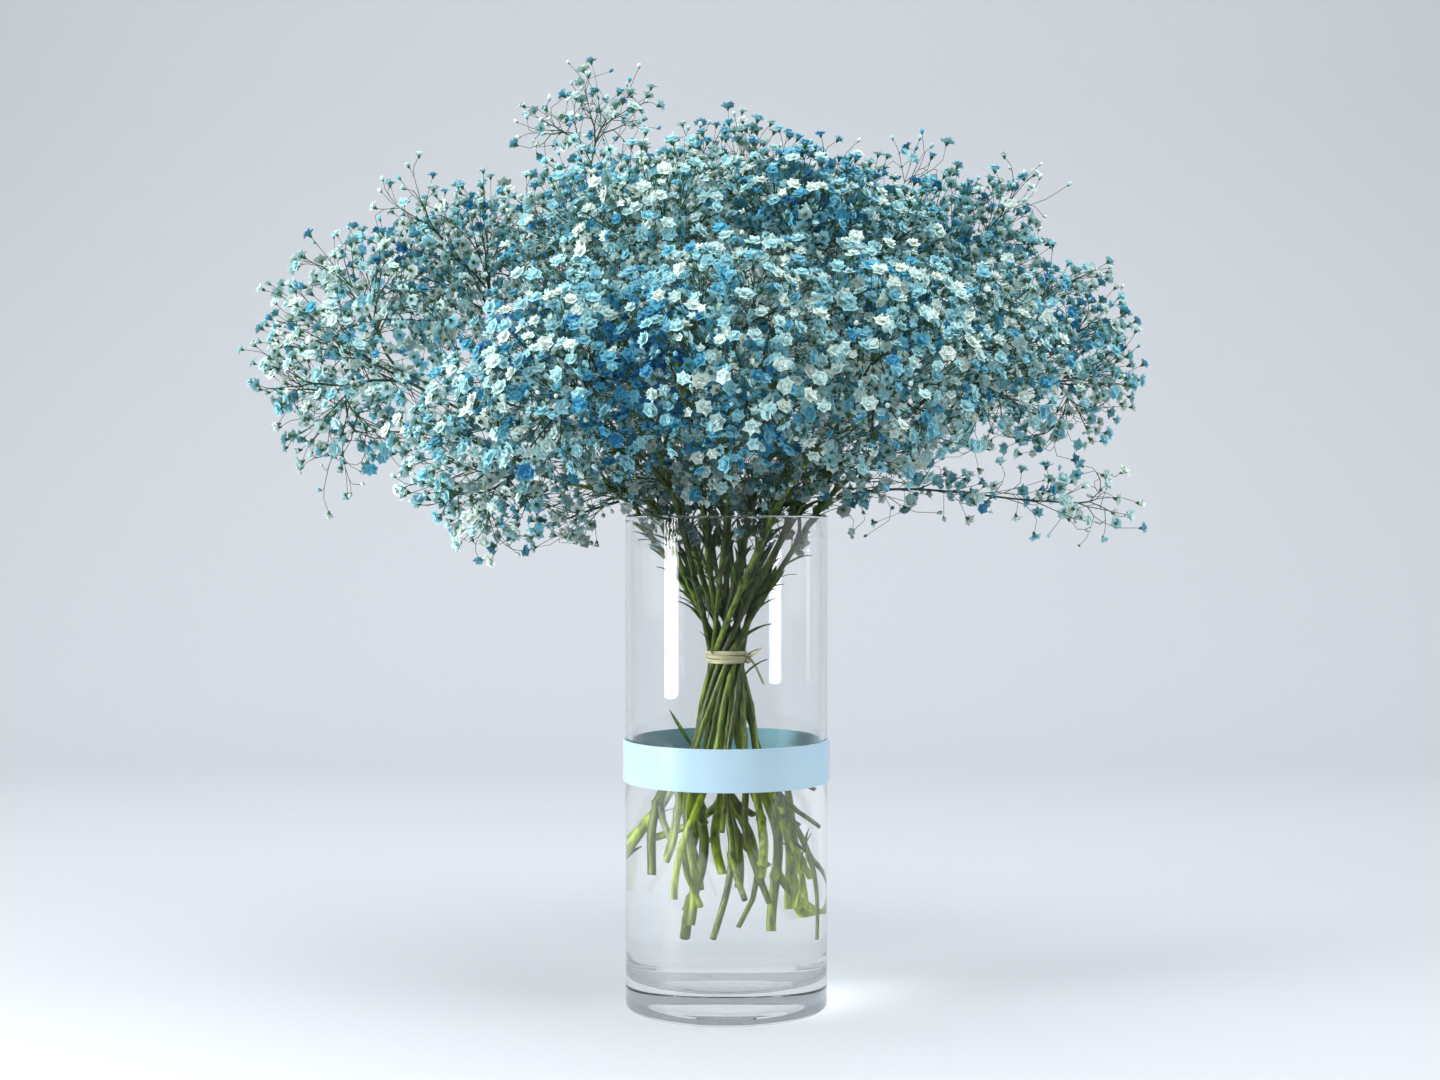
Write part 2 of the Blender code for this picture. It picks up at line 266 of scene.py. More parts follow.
def clear_material(name, ior, tint):
    """Glass or water: clear to the eye, and letting lamp light through instead of shading it."""
    material, shader = new_material(name, 0.0, IOR=ior, Transmission_Weight=1.0)
    shader.inputs["Base Color"].default_value = (*tint, 1)
    tree = material.node_tree
    through = add_node(tree, "BsdfTransparent", Color=(*tint, 1))
    path, mix = add_node(tree, "LightPath"), add_node(tree, "MixShader")
    wire(
        tree, (path, "Is Shadow Ray", mix, "Fac"), (shader, "BSDF", mix, 1), (through, "BSDF", mix, 2),
        (mix, "Shader", tree.nodes["Material Output"], "Surface"),
    )
    return material


glass = clear_material("clear glass", 1.5, (0.975, 0.985, 0.985))
water_clear = clear_material("clear water", 1.33, (0.985, 0.992, 0.99))


# %% Model the vase
def tube(name, radius, low, high, **values):
    """An upright cylinder from a low to a high end."""
    return primitive(
        name, bpy.ops.mesh.primitive_cylinder_add, vertices=ROUND_SIDES, radius=radius, depth=high - low,
        location=(0, 0, (low + high) / 2), **values,
    )


def build_vase():
    vase = tube("vase_glass", vase_radius, 0, vase_height)
    wall = vase_radius - inner_radius
    edit(True)
    pick(vase, "faces", lambda p: p.z > vase_height - ON_PLANE)
    bpy.ops.mesh.inset(thickness=wall)
    bpy.ops.mesh.extrude_region_move(
        TRANSFORM_OT_translate={"value": (0, 0, floor_height - vase_height)}
    )
    pick(vase, "edges", lambda p: abs(p.z - floor_height) < ON_PLANE)
    bpy.ops.mesh.bevel(offset=FLOOR_FILLET, segments=LIP_SEGMENTS)
    pick(vase, "edges", lambda p: p.z < ON_PLANE)
    bpy.ops.mesh.bevel(offset=HEEL_ROUNDING, segments=LIP_SEGMENTS)
    pick(vase, "faces", lambda p: p.z < ON_PLANE and p.xy.length < 1e-3)
    for ring, lift in FOOT_HOLLOW:
        bpy.ops.mesh.inset(thickness=ring)
        move(0, 0, lift)
    pick(vase, "edges", lambda p: p.z > vase_height - ON_PLANE)
    rim = bmesh.from_edit_mesh(vase.data)
    for edge in rim.edges:
        along = abs(edge.verts[0].co.xy.length - edge.verts[1].co.xy.length) < 1e-5
        edge.select = edge.select and along
    bmesh.update_edit_mesh(vase.data)
    bpy.ops.mesh.bevel(offset=wall * RIM_ROUNDING, segments=LIP_SEGMENTS)
    edit(False)
    finish(vase, ["vase"], glass, 50, true_walls=True)


build_vase()

# %% [markdown]
# ## The water
# Where water meets glass there is no air between them, so the water is made a hair wider than the
# inside of the vase. Light then bends once from glass to water, as it really does. At the wall the
# water climbs a little, so the top edge is drawn up into a thin skirt.

# %% Model the water
WATER_OVERLAP = 0.00012
MENISCUS_RISE = 0.0016
MENISCUS_REACH = 0.0008
MENISCUS_RINGS = (0.0006, 0.0008, 0.0012)


def build_water():
    radius = inner_radius + WATER_OVERLAP
    low = floor_height - WATER_OVERLAP
    water = tube("water_body", radius, low, water_level)
    edit(True)
    pick(water, "edges", lambda p: p.z < low + ON_PLANE)
    bpy.ops.mesh.bevel(offset=FLOOR_FILLET, segments=LIP_SEGMENTS)
    pick(water, "faces", lambda p: p.z > water_level - ON_PLANE)
    for step in MENISCUS_RINGS:
        bpy.ops.mesh.inset(thickness=step)
    edit(False)
    for vertex in water.data.vertices:
        if vertex.co.z > water_level - ON_PLANE:
            inward = radius - vertex.co.xy.length
            vertex.co.z += MENISCUS_RISE * math.exp(-inward / MENISCUS_REACH)
    finish(water, ["water"], water_clear, 50, true_walls=True)


build_water()

# %% [markdown]
# ## The band
# A light blue band of smooth, slightly shiny vinyl sits round the glass. It is a short tube given its
# thickness by Solidify and softened edges by Bevel. Its colour is a little uneven, and a fine
# orange-peel keeps its gloss from looking like a mirror. The faces that look inward, seen through the
# glass from inside, get their own duller and darker material, which is painted shade.

# %% Band materials
BAND_CLOUDS = 22
BAND_PEEL = 900
BAND_GAP = 0.00005
BAND_SOFTNESS = 0.0004


def band_material(name, dark, light, roughness):
    material, shader = new_material(name, roughness, Coat_Weight=0.3, Coat_Roughness=0.14)
    tree = material.node_tree
    place = add_node(tree, "TexCoord")
    cloud, peel = add_node(tree, "TexNoise", Scale=BAND_CLOUDS), add_node(tree, "TexNoise", Scale=BAND_PEEL)
    ramp = two_tone(tree, 0.35, 0.65)
    ramp.color_ramp.elements[0].color = (*dark, 1)
    ramp.color_ramp.elements[1].color = (*light, 1)
    wire(
        tree, (place, "Object", cloud, "Vector"), (place, "Object", peel, "Vector"),
        (cloud, "Fac", ramp, "Fac"), (ramp, "Color", shader, "Base Color"),
    )
    add_bump(material, shader, peel, "Fac", 0.00005)
    return material


band_front = band_material("band vinyl", (0.42, 0.63, 0.78), (0.49, 0.68, 0.79), 0.34)
# the inner side's material is darker: painted shade for the inside seen through the glass
band_inner_painted_shade = band_material("band inner side painted shade", (0.10, 0.25, 0.31), (0.15, 0.32, 0.37), 0.6)


# %% Model the band
def build_band():
    band = tube("band_vinyl", vase_radius + BAND_GAP, band_low.z, band_high.z, end_fill_type="NOTHING")
    thick = band.modifiers.new("Thickness", "SOLIDIFY")
    thick.thickness = band_high.x - vase_radius - BAND_GAP
    thick.offset = 1.0
    soft = band.modifiers.new("Soft edges", "BEVEL")
    soft.width = BAND_SOFTNESS
    soft.segments = 3
    bpy.ops.object.modifier_apply(modifier=thick.name)
    bpy.ops.object.modifier_apply(modifier=soft.name)
    band.data.materials.append(band_front)
    band.data.materials.append(band_inner_painted_shade)
    # faces that look inward take the second material, the painted shade
    for face in band.data.polygons:
        face.material_index = int(face.normal.xy.dot(face.center.xy) < -0.02)
    finish(band, ["colour_band"], None, 30, true_walls=True)


build_band()

# %% [markdown]
# ## The stems
# Each packed stem is a bent six-sided rod. Its middle line is read back from the rings of its mesh, made
# smooth, and given the knees that gypsophila has: a thickened joint every few centimetres, where pairs
# of narrow leaves grow. A curve with a bevel makes such a rod, and its radius can differ from point to
# point.

# %% Read a rod's middle line
RING_REACH = 0.0055


def rod_line(node):
    """Middle points and radii of a packed rod, from its low end up."""
    corners = np.array([v.co for v in nodes[node].data.vertices])
    corners = np.unique(corners.round(6), axis=0)
    left = np.arange(len(corners))
    rings = []
    while len(left):
        first = left[np.argmin(corners[left, 2])]
        near = np.linalg.norm(corners[left] - corners[first], axis=1) < RING_REACH
        rings.append(corners[left[near]])
        left = left[~near]
    middles = [ring.mean(0) for ring in rings]
    radii = [np.linalg.norm(ring - ring.mean(0), axis=1).mean() for ring in rings]
    order = [0]
    while len(order) < len(middles):
        rest = [i for i in range(len(middles)) if i not in order]
        order.append(min(rest, key=lambda i: np.linalg.norm(middles[i] - middles[order[-1]])))
    return np.array([middles[i] for i in order]), np.array([radii[i] for i in order])


def unit(vector):
    return vector / np.linalg.norm(vector)


def smooth_line(points, step):
    """A finer, smooth line through the points (Catmull-Rom), about one point per step."""
    ends = np.vstack([2 * points[0] - points[1], points, 2 * points[-1] - points[-2]])
    out = []
    for a, b, c, d in zip(ends[:-3], ends[1:-2], ends[2:-1], ends[3:]):
        count = max(1, round(np.linalg.norm(c - b) / step))
        for t in np.arange(count) / count:
            out.append(
                0.5 * (2 * b + (c - a) * t + (2 * a - 5 * b + 4 * c - d) * t**2
                       + (3 * b - a - 3 * c + d) * t**3)
            )
    return np.array(out + [points[-1]])


def in_scene(name, data):
    """A new object with the data, linked to the scene."""
    piece = bpy.data.objects.new(name, data)
    bpy.context.scene.collection.objects.link(piece)
    return piece


# %% Rods as one bevelled curve
def rods_mesh(name, rods, resolution):
    """One mesh made of many round rods, each a list of points and of radii."""
    curve = bpy.data.curves.new(name, "CURVE")
    curve.dimensions = "3D"
    curve.bevel_depth = 1.0
    curve.bevel_resolution = resolution
    curve.use_fill_caps = True
    for points, radii in rods:
        spline = curve.splines.new("POLY")
        spline.points.add(len(points) - 1)
        spline.points.foreach_set("co", np.hstack([points, np.ones((len(points), 1))]).ravel())
        spline.points.foreach_set("radius", np.asarray(radii, float))
    select(in_scene(name, curve))
    bpy.ops.object.convert(target="MESH")
    return bpy.context.object


# %% Stem and leaf materials
WET_TOP = 0.138
WET_FADE = 0.04
WET_TONES = ((0.032, 0.060, 0.001), (0.32, 0.44, 0.002))
ABOVE_WATER_TONES = ((0.012, 0.030, 0.001), (0.150, 0.235, 0.008))
STEM_SHADES = (0.45, 0.8, 1.1)
STEM_PATTERN = (420, 45)


def stem_material(name, shade):
    """Dark green above the water and lime green in it."""
    material, shader = new_material(name, 0.45)
    tree = material.node_tree
    wet, above_water = (
        grown_tone(tree, *([shade * c for c in tone] for tone in tones), *STEM_PATTERN)
        for tones in (WET_TONES, ABOVE_WATER_TONES)
    )
    place, split = add_node(tree, "TexCoord"), add_node(tree, "SeparateXYZ")
    rise = add_node(tree, "MapRange", From_Min=WET_TOP, From_Max=WET_TOP + WET_FADE)
    mix = colour_mix(tree)
    wire(
        tree, (place, "Object", split, "Vector"), (split, "Z", rise, "Value"),
        (rise, "Result", mix, "Factor"),
        (wet, "Color", mix, "A"), (above_water, "Color", mix, "B"), (mix, "Result", shader, "Base Color"),
    )
    add_bump(material, shader, wet, "Height", 0.0002)
    return material


stem_greens = [stem_material(f"stem green {k}", shade) for k, shade in enumerate(STEM_SHADES)]
leaf_green = grown_material(
    "leaf green", (0.012, 0.040, 0.004), (0.062, 0.140, 0.012), (300, 90), 0.55, 0.0002
)
twig_green = grown_material(
    "twig green", (0.007, 0.030, 0.016), (0.030, 0.080, 0.036), (500, 120), 0.6, 0.0001
)


# %% [markdown]
# A gypsophila leaf is a narrow lance, folded a little along its middle. One leaf is modelled from a
# small grid, pulled to a point at both ends, and copied to the joints.

# %% Model one leaf
LEAF_ROWS = 6
LEAF_WIDTH = 0.15
LEAF_FOLD = -0.02


def build_leaf():
    grid = bpy.ops.mesh.primitive_grid_add
    leaf = primitive("leaf_pattern", grid, x_subdivisions=2, y_subdivisions=LEAF_ROWS, size=1)
    edit(True)
    for row in range(LEAF_ROWS + 1):
        up = row / LEAF_ROWS
        y = -0.5 + up
        width = LEAF_WIDTH * math.sin(math.pi * (0.06 + 0.92 * up)) ** 0.8
        pick(leaf, "verts", lambda p, y=y: abs(p.y - y) < 0.01)
        bpy.ops.transform.resize(value=(width, 1, 1), center_override=(0, 0, 0))
        move(0, 0, 0.5 * up - 0.45 * up**2)
    pick(leaf, "verts", lambda p: abs(p.x) < ON_PLANE)
    move(0, 0, LEAF_FOLD)
    edit(False)
    leaf.data.transform(Matrix.Translation((0, 0.5, 0)))
    return leaf


leaf_pattern = build_leaf()
leaf_points = np.array([v.co for v in leaf_pattern.data.vertices])
leaf_faces = [list(f.vertices) for f in leaf_pattern.data.polygons]
bpy.data.objects.remove(leaf_pattern)


def toward(direction, spin=0.0):
    """A turn that takes +Z to a direction, after a spin about +Z."""
    turn = Vector(direction).to_track_quat("Z", "Y").to_matrix()
    return np.array(turn @ Matrix.Rotation(spin, 3, "Z"))


# %% Shape the stems
JOINT_SPACING = 0.052
JOINT_SWELL = 0.42
JOINT_LENGTH = 0.0022
LINE_STEP = 0.003
SOAKED = 1.12  # how much thicker a stem is in the water
SWAY = 0.0062  # how far the free ends wander
SWAY_LENGTHS = (0.027, 0.036)
STEM_THINNEST, STEM_THICKEST = 0.66, 1.03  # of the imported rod
GLASS_MARGIN = 0.0035


def clear_of_wall(points, margin):
    """Which points are above the rim, outside the vase or well inside it."""
    from_axis = np.linalg.norm(points[:, :2], axis=1)
    beside = points[:, 2] < vase_height + margin
    return ~beside | (from_axis < inner_radius - margin) | (from_axis > vase_radius + margin)


def kept_inside(points, margin):
    """Moves points that would touch the glass from inside back from it."""
    from_axis = np.linalg.norm(points[:, :2], axis=1)
    pull = np.minimum(1, (inner_radius - margin) / np.maximum(from_axis, 1e-6))
    pull = np.where(points[:, 2] < vase_height + margin, pull, 1)
    return points * np.stack([pull, pull, np.ones(len(points))], 1)


def stem_rod(node, seed):
    """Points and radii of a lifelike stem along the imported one, and the places of its joints."""
    chance = np.random.default_rng(seed)
    middles, radii = rod_line(node)
    line = smooth_line(middles, LINE_STEP)
    along = np.r_[0, np.cumsum(np.linalg.norm(np.diff(line, axis=0), axis=1))]
    coarse = np.r_[0, np.cumsum(np.linalg.norm(np.diff(middles, axis=0), axis=1))]
    radius = np.interp(along, coarse, radii) * chance.uniform(STEM_THINNEST, STEM_THICKEST)
    joints = np.arange(chance.uniform(0.012, JOINT_SPACING), along[-1] - 0.01, JOINT_SPACING)
    joints = joints + chance.uniform(-0.008, 0.008, len(joints))
    for joint in joints:
        radius = radius * (1 + JOINT_SWELL * np.exp(-(((along - joint) / JOINT_LENGTH) ** 2)))
    radius = radius * np.where(line[:, 2] < water_level, SOAKED, 1)
    free = np.clip((tie_height - 0.03 - line[:, 2]) / 0.08, 0, 1)
    phase = chance.uniform(0, math.tau, 2)
    sway = np.stack([np.sin(along / SWAY_LENGTHS[k] + phase[k]) for k in (0, 1)], 1)
    line[:, :2] += sway * (SWAY * free)[:, None]
    line = kept_inside(line, GLASS_MARGIN)
    return line, radius, along, joints, chance


# %% Side shoots and leaves of a stem
BARE_FOOT = 0.06  # below this height a stem is bare
STUB_SHARE = 0.6
STUB_LENGTHS = (0.014, 0.034)
LEAF_LENGTHS = (0.014, 0.03)
LEAF_LEANS = (0.75, 1.35)
LEAF_SHARES = (0.12, 0.85)  # of the joints, below and above the tie
EXTRA_PAIRS = 16
LEAFY_TOP = vase_height + 0.07


def stubs_at(line, radius, along, joints, chance):
    """Short cut-back side shoots at some of the joints under the tie."""
    stubs = []
    for joint in joints:
        k = min(np.searchsorted(along, joint), len(line) - 2)
        if not BARE_FOOT < line[k][2] < tie_height - 0.05 or chance.random() > STUB_SHARE:
            continue
        down = unit(line[k - 1] - line[k])
        side = unit(np.cross(down, chance.normal(size=3)))
        length = chance.uniform(*STUB_LENGTHS)
        way = np.array([0, 0.5, 1.0])[:, None]
        bend = chance.uniform(0.35, 0.8)
        points = line[k] + length * (down * way + side * bend * way**1.4)
        stubs.append((kept_inside(points, 0.003), radius[k] * np.array([0.8, 0.75, 0.7])))
    return stubs


def leaves_at(line, along, joints, chance):
    """Leaf shapes at some of the joints, as points and faces."""
    points, faces, count = [], [], 0
    leafy = np.flatnonzero((line[:, 2] > tie_height + 0.015) & (line[:, 2] < LEAFY_TOP))
    joints = np.r_[joints, along[chance.choice(leafy, EXTRA_PAIRS)]]
    for joint in joints:
        k = min(np.searchsorted(along, joint), len(line) - 2)
        height = line[k][2]
        likely = LEAF_SHARES[int(height >= tie_height - 0.03)]
        if chance.random() > likely or height < BARE_FOOT:
            continue
        ahead = line[k + 1] - line[k]
        length = chance.uniform(*LEAF_LENGTHS)
        first = chance.uniform(0, math.tau)
        for side in (0, math.pi):
            turn = toward(ahead, first + side)
            lean = Matrix.Rotation(chance.uniform(*LEAF_LEANS), 3, "X")
            points.append(leaf_points * length @ np.array(lean).T @ turn.T + line[k])
            faces += [[i + count for i in f] for f in leaf_faces]
            count += len(leaf_points)
    return (np.vstack(points), faces) if points else (np.zeros((0, 3)), [])


def add_sheet(piece, points, faces, material):
    """Joins loose sheets, such as leaves, to a piece, in their own material."""
    if not len(points):
        return
    mesh = bpy.data.meshes.new("sheets")
    mesh.from_pydata(points.tolist(), [], faces)
    mesh.materials.append(material)
    select(piece, in_scene("sheets", mesh))
    bpy.ops.object.join()


# %% Grow the stems
# one narrow leaf stands off the left of the bundle, between the tie and the band
LONE_LEAF_HEIGHT = 0.160
LONE_LEAF_SIZE = np.array([0.0168, 0.028, 0.028])
LONE_LEAF_LEAN = math.radians(-32)
stem_names = sorted(name for name in nodes if name.startswith("stem_"))
grown_rods = {name: stem_rod(name, 100 + number) for number, name in enumerate(stem_names)}
stem_lines = {name: rod[:2] for name, rod in grown_rods.items()}


def point_at(name, height):
    """The point of a stem at a height."""
    line = stem_lines[name][0]
    return line[np.abs(line[:, 2] - height).argmin()]


leftmost = min(stem_names, key=lambda name: point_at(name, LONE_LEAF_HEIGHT)[0])
for number, name in enumerate(stem_names):
    line, radius, along, joints, chance = grown_rods[name]
    rods = [(line, radius)] + stubs_at(line, radius, along, joints, np.random.default_rng(1000 + number))
    piece = rods_mesh(name + "_grown", rods, 2)
    piece.data.materials.append(stem_greens[number % len(stem_greens)])
    add_sheet(piece, *leaves_at(line, along, joints, chance), leaf_green)
    if name == leftmost:
        turn = Matrix.Rotation(LONE_LEAF_LEAN, 3, "Y") @ Matrix.Rotation(math.radians(90), 3, "X")
        lone = leaf_points * LONE_LEAF_SIZE @ np.array(turn).T
        add_sheet(piece, lone + point_at(name, LONE_LEAF_HEIGHT), leaf_faces, leaf_green)
    finish(piece, [name], None, 50)

# %% [markdown]
# ## The tie
# Raffia is a dry, flat palm fibre. The strands are flat ribbons wound round the bundle, each on its own
# slightly tilted ring, then knotted at the side with two short ends. A curve with an oval profile keeps
# the ribbon's flat side against the stems.

# %% A ribbon of raffia
raffia = grown_material("raffia", (0.30, 0.28, 0.15), (0.54, 0.52, 0.33), (60, 2600), 0.7, 0.0003)


def ribbon(name, points, closed, width, thickness):
    clear_selection()
    bpy.ops.curve.primitive_bezier_circle_add(radius=0.5)
    profile = bpy.context.object
    profile.data.resolution_u = 3
    profile.scale = (thickness, width, 1)
    select(profile)
    bpy.ops.object.transform_apply(scale=True)
    curve = bpy.data.curves.new(name, "CURVE")
    curve.dimensions = "3D"
    curve.twist_mode = "Z_UP"
    curve.bevel_mode = "OBJECT"
    curve.bevel_object = profile
    curve.use_fill_caps = not closed
    spline = curve.splines.new("POLY")
    spline.points.add(len(points) - 1)
    for knot, point in zip(spline.points, points):
        knot.co = (*point, 1)
    spline.use_cyclic_u = closed
    select(in_scene(name, curve))
    bpy.ops.object.convert(target="MESH")
    piece = bpy.context.object
    bpy.data.objects.remove(profile)
    return piece


# %% Model the tie
TIE_DEPTH = 0.0029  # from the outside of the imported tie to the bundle
# how far above the middle each turn lies, how much it tilts and how far out it is pushed
TURNS = [(-0.0021, 0.03, 0.0), (0.0002, -0.06, 0.0004), (0.0023, 0.04, 0.0)]
# how far each loose end drops, reaches out and swings aside
TAILS = [(-0.017, 0.009, 0.004), (0.006, 0.010, -0.005)]
KNOT_ANGLE = -0.35


def tie_turn(inside, number, lift, tilt, out):
    points = []
    for angle in np.arange(72) * math.tau / 72:
        radius = inside + 0.0004 + out + 0.00025 * math.sin(3 * angle + number * 2)
        rise = lift + radius * tilt * math.sin(angle + number * 1.7)
        points.append((radius * math.cos(angle), radius * math.sin(angle), tie_height + rise))
    return points


def build_tie():
    inside = tie_high.x - TIE_DEPTH
    strands = []
    for number, turn in enumerate(TURNS):
        strands.append(ribbon(f"wrap_{number}", tie_turn(inside, number, *turn), True, 0.0026, 0.0008))
    knot_at = Vector((inside * math.cos(KNOT_ANGLE), inside * math.sin(KNOT_ANGLE), tie_height))
    out = knot_at.xy.normalized().to_3d()
    side, up = Vector((-out.y, out.x, 0)), Vector((0, 0, 1))
    loop = []
    for t in np.arange(40) * math.tau / 40:
        away = 0.0019 + 0.0011 * math.sin(3 * t)
        aside = 0.0022 * (math.sin(t) + 0.5 * math.sin(2 * t))
        rise = 0.0020 * (math.cos(t) - 0.6 * math.cos(2 * t))
        loop.append(knot_at + out * away + side * aside + up * rise)
    strands.append(ribbon("knot", loop, True, 0.0018, 0.0008))
    for number, (drop, away, swing) in enumerate(TAILS):
        points = [
            knot_at + out * (0.0018 + away * t) + side * swing * t + up * drop * t**1.5
            for t in np.linspace(0, 1, 9)
        ]
        strands.append(ribbon(f"tail_{number}", points, False, 0.0016, 0.0004))
    select(*strands)
    bpy.ops.object.join()
    strands[0].name = "tie_raffia"
    finish(strands[0], ["tie"], raffia, 50)


build_tie()

# %% [markdown]
# ## The blossoms
# A gypsophila blossom is a pompom 7 to 9 mm across: rings of small notched petals over a green cup. One
# petal is shaped from a grid, and copies of it, tilted more and more upright, make the rings. Three
# stages are modelled: an open blossom, one half open, and a round bud. They repeat thousands of times,
# so each has only a few dozen faces.

# %% Model one petal
BLOSSOM_RADIUS = 0.0045
# distance out, half the width and height of each row of a petal, whose length is 1
PETAL_ROWS = [(0.0, 0.20, 0.0), (0.5, 0.47, 0.16), (1.0, 0.50, 0.06)]
PETAL_NOTCH = 0.15
PETAL_FOLD = -0.08


def build_petal():
    grid = bpy.ops.mesh.primitive_grid_add
    petal = primitive("petal", grid, x_subdivisions=2, y_subdivisions=2, size=1, location=(0, 0.5, 0))
    edit(True)
    for out, half, rise in PETAL_ROWS:
        pick(petal, "verts", lambda p, out=out: abs(p.y - out) < 0.01)
        bpy.ops.transform.resize(value=(2 * half, 1, 1), center_override=(0, 0, 0))
        move(0, 0, rise)
    pick(petal, "verts", lambda p: abs(p.x) < ON_PLANE and p.y > 0.1)
    move(0, 0, PETAL_FOLD)
    pick(petal, "verts", lambda p: abs(p.x) < ON_PLANE and p.y > 0.9)
    move(0, -PETAL_NOTCH, 0)
    edit(False)
    return petal


petal = build_petal()

# %% [markdown]
# Petals stand in rings round a heart of tightly packed inner petals, which at this size reads as a
# small ruffled dome. Below them sits the green cup.

# %% Parts of a blossom
UNEVEN = 2.4  # a turn that never repeats, so that no two petals of a ring stand alike


def cup(size):
    """The green cup under the petals."""
    base = primitive(
        "cup", bpy.ops.mesh.primitive_cone_add, vertices=5, radius1=0.10 * size, radius2=0.34 * size,
        depth=0.55 * size, end_fill_type="NOTHING",
    )
    base.data.transform(Matrix.Translation((0, 0, -0.20 * size)))
    return base


def heart(size):
    """The ruffled heart: a low dome whose edge points stand in and out by turns."""
    dome = primitive(
        "heart", bpy.ops.mesh.primitive_cone_add, vertices=6, radius1=0.50 * size, radius2=0.30 * size,
        depth=0.36 * size, end_fill_type="TRIFAN",
    )
    dome.data.transform(Matrix.Translation((0, 0, 0.34 * size)))
    edit(True)
    pick(dome, "faces", lambda p: p.z < 0.17 * size)
    bpy.ops.mesh.delete(type="FACE")
    pick(dome, "verts", lambda p: p.z > 0.4 * size and p.x * p.y > 0.001)
    move(0, 0, 0.16 * size)
    edit(False)
    return dome


def petal_ring(count, size, tilt, start):
    """One ring of petals, each leaning up by the tilt in degrees."""
    ring = []
    for k in range(count):
        copy = in_scene("petal_copy", petal.data.copy())
        turn = Matrix.Rotation(math.tau * k / count + start, 4, "Z")
        lean = Matrix.Rotation(math.radians(tilt + 9 * math.sin(UNEVEN * k)), 4, "X")
        out = Matrix.Translation((0, 0.05, 0.02 * math.cos(UNEVEN * k)))
        copy.data.transform(turn @ out @ lean @ Matrix.Scale(size, 4))
        ring.append(copy)
    return ring


def bud():
    """A round bud, a little longer than wide."""
    ball = primitive("bud", bpy.ops.mesh.primitive_uv_sphere_add, segments=6, ring_count=4, radius=0.5)
    edit(True)
    pick(ball, "verts", lambda p: p.z > 0.2)
    bpy.ops.transform.resize(value=(0.85, 0.85, 1.25), center_override=(0, 0, 0))
    edit(False)
    ball.data.transform(Matrix.Translation((0, 0, 0.35)))
    return ball


# %% Put the stages together
def joined_pattern(parts):
    """Points, faces and a tone per point: 0 deep in the blossom, 1 at its petals' edges, -1 on the cup."""
    points, faces, tones = [], [], []
    for part in parts:
        start = len(points)
        points += [tuple(v.co) for v in part.data.vertices]
        faces += [[i + start for i in f.vertices] for f in part.data.polygons]
        if part.name.startswith("cup"):
            tones += [-1.0] * len(part.data.vertices)
        else:
            tones += [min(1.0, 1.1 * Vector(v.co).length) for v in part.data.vertices]
        bpy.data.objects.remove(part)
    return np.array(points), faces, np.array(tones)


STAGES = [
    joined_pattern(petal_ring(6, 0.97, 20, 0.0) + petal_ring(5, 0.86, 55, 0.5) + [heart(1.0), cup(1.0)]),
    joined_pattern(petal_ring(5, 0.80, 50, 0.0) + [heart(0.9), cup(0.95)]),
    joined_pattern([bud(), cup(0.9)]),
]
bpy.data.objects.remove(petal)
for shape in STAGES:
    print("blossom stage:", len(shape[0]), "points,", len(shape[1]), "faces")

# %% [markdown]
# ## Dyed colours
# The bunch was sprayed with blue dye after picking, so the colour comes in patches: some blossoms stay
# cream, most are pale aqua, and those in the way of the spray are sky blue or deeper. A few soft spheres
# say where the spray went, and each blossom then takes its own share of it by chance.

# %% Where the dye went
# middle of a sprayed patch, its radius and how strong it is there
SPRAY = [
    ((-0.044, -0.16, 0.385), 0.055, 0.95),
    ((0.010, -0.17, 0.362), 0.040, 0.80),
    ((-0.124, -0.12, 0.410), 0.045, 0.75),
    ((0.092, -0.13, 0.420), 0.045, 0.60),
    ((0.050, -0.07, 0.490), 0.050, 0.75),
    ((-0.090, -0.04, 0.500), 0.045, 0.50),
    ((0.210, -0.02, 0.425), 0.035, 0.70),
    ((-0.210, 0.00, 0.475), 0.035, 0.70),
    ((0.133, 0.00, 0.515), 0.040, 0.60),
    ((0.030, 0.17, 0.430), 0.070, 0.85),
    ((-0.110, 0.13, 0.470), 0.055, 0.65),
    ((0.160, 0.10, 0.480), 0.055, 0.60),
]


def linear(r, g, b):
    """A screen colour, 0 to 255, as light."""
    return (np.array([r, g, b]) / 255) ** 2.2


CLOUD_HEART = np.array([0.0, 0.0, vase_height])
DYE_STEPS = np.array([0.0, 0.3, 0.6, 1.0])
DYE_COLOURS = np.array(
    [linear(232, 248, 240), linear(170, 224, 230), linear(84, 178, 208), linear(26, 114, 178)]
)
DYE_EVERYWHERE = 0.22
DYE_WAVE = 0.12
DYE_CHANCE = 0.21
# painted shade: blossoms deep in the bunch are painted darker: how dark, how far out that goes, and how
# soon it fades
INNER_PAINTED_SHADE = 0.45
INNER_REACH = 0.055
INNER_FADE = 0.115
CUP_COLOUR = linear(64, 104, 66)


def dye_at(places):
    """How much of the spray reached each place, from 0 to 1."""
    amount = np.full(len(places), DYE_EVERYWHERE)
    for middle, radius, strength in SPRAY:
        away = np.linalg.norm(places - np.array(middle), axis=1)
        amount = np.maximum(amount, strength * np.exp(-((away / radius) ** 2)))
    wave = np.sin(places[:, 0] * 41 + 1.3) * np.sin(places[:, 1] * 37) * np.sin(places[:, 2] * 53 + 0.7)
    return amount + DYE_WAVE * wave


